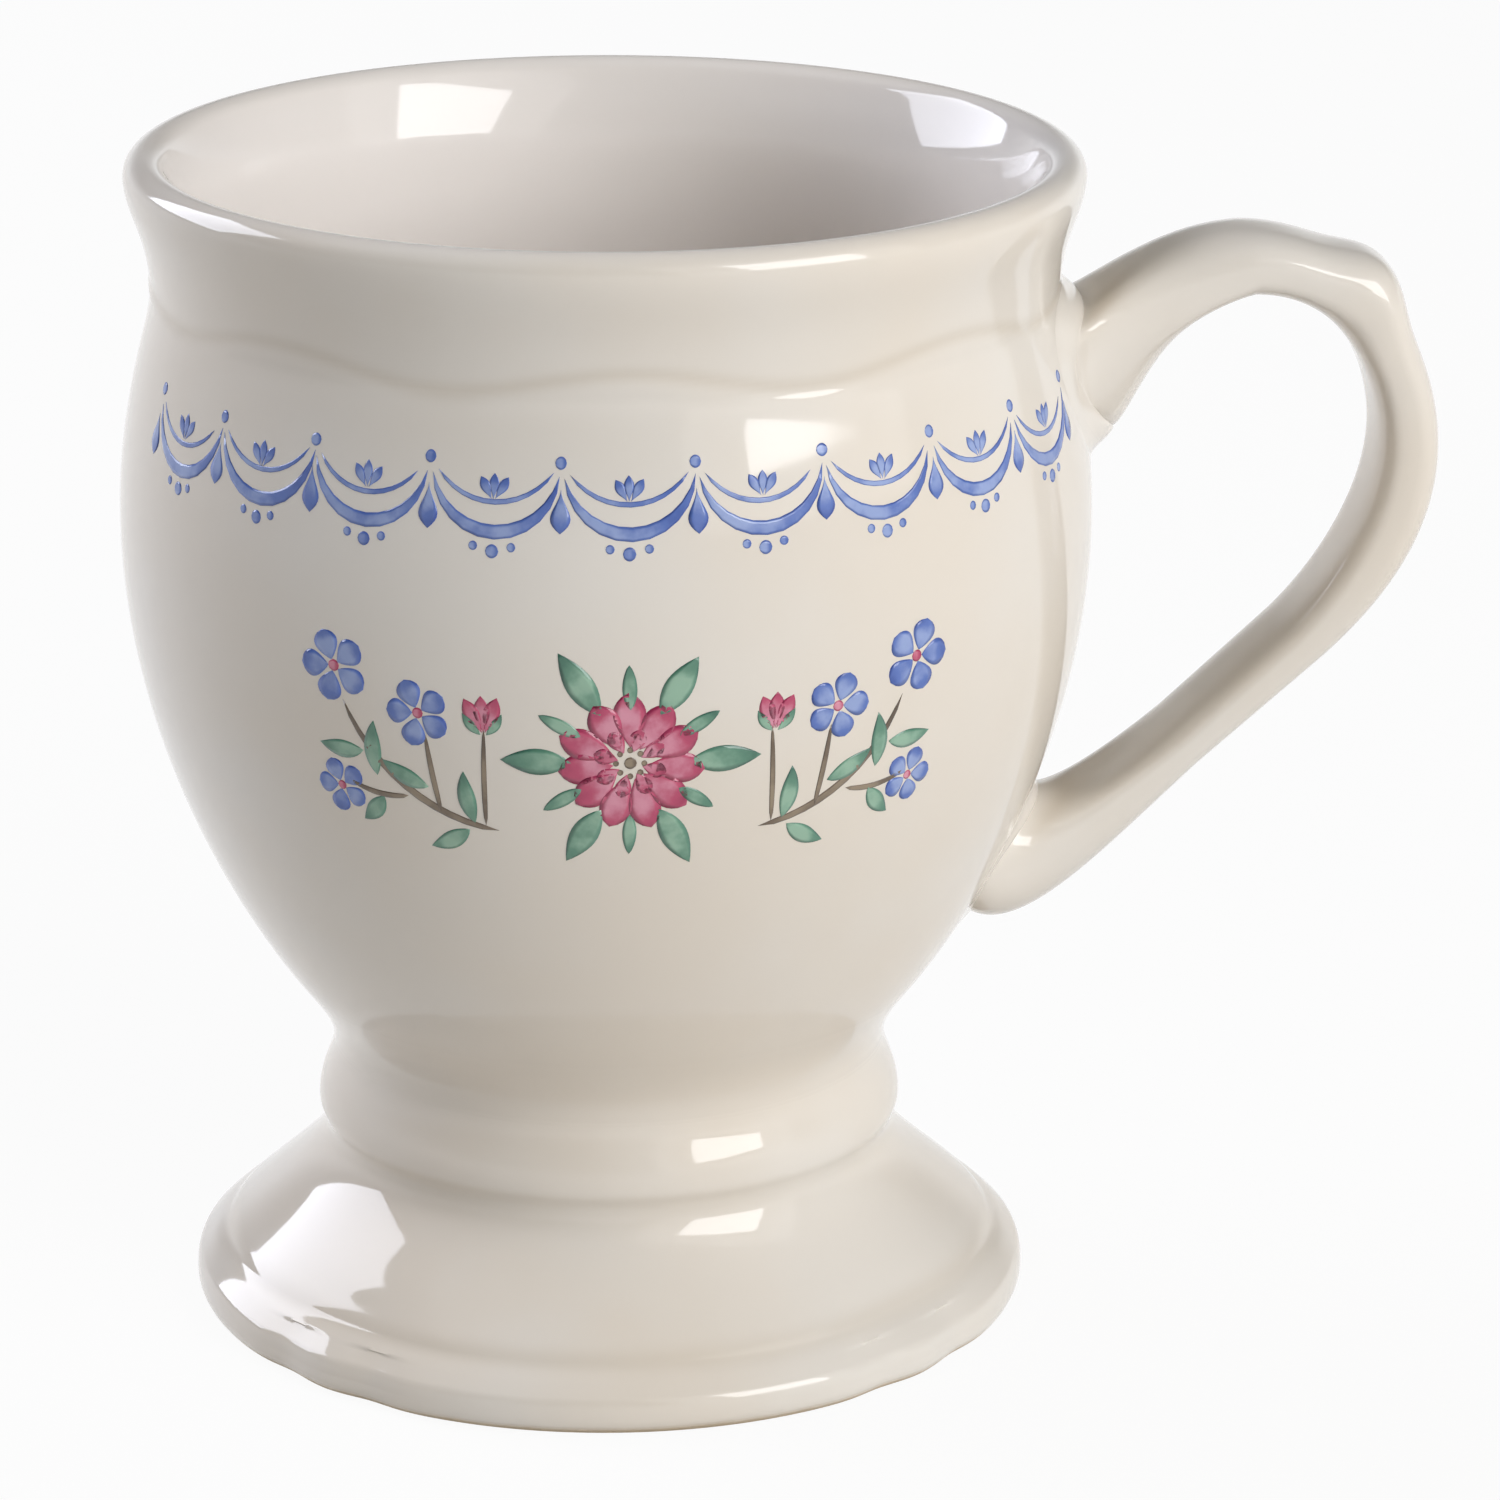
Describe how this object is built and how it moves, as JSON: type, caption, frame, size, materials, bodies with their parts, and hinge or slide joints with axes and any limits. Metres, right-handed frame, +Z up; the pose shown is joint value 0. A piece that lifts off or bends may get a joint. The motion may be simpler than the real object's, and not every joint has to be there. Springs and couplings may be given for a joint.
{
  "type": "pedestal mug",
  "caption": "Glazed ceramic mug for hot drinks: round-bellied bowl with a rolled lip on a flared, lobed hollow foot, and a loop handle with a thumb rest.",
  "frame": {"origin": "on the table, under the middle of the whole mug with its handle", "axes": "+Z up along the bowl's axis, +X towards the handle, -Y towards the viewer of the picture"},
  "size_m": [0.1218, 0.0896, 0.11],
  "materials": {
    "glazed_body": "glossy ivory glaze",
    "slip": "fired slip"
  },
  "bodies": {
    "root": {"bowl": "glazed_body", "pedestal": "glazed_body", "handle": "glazed_body", "waist_slip": "slip", "upper_handle_slip": "slip", "lower_handle_slip": "slip"}
  },
  "joints": []
}
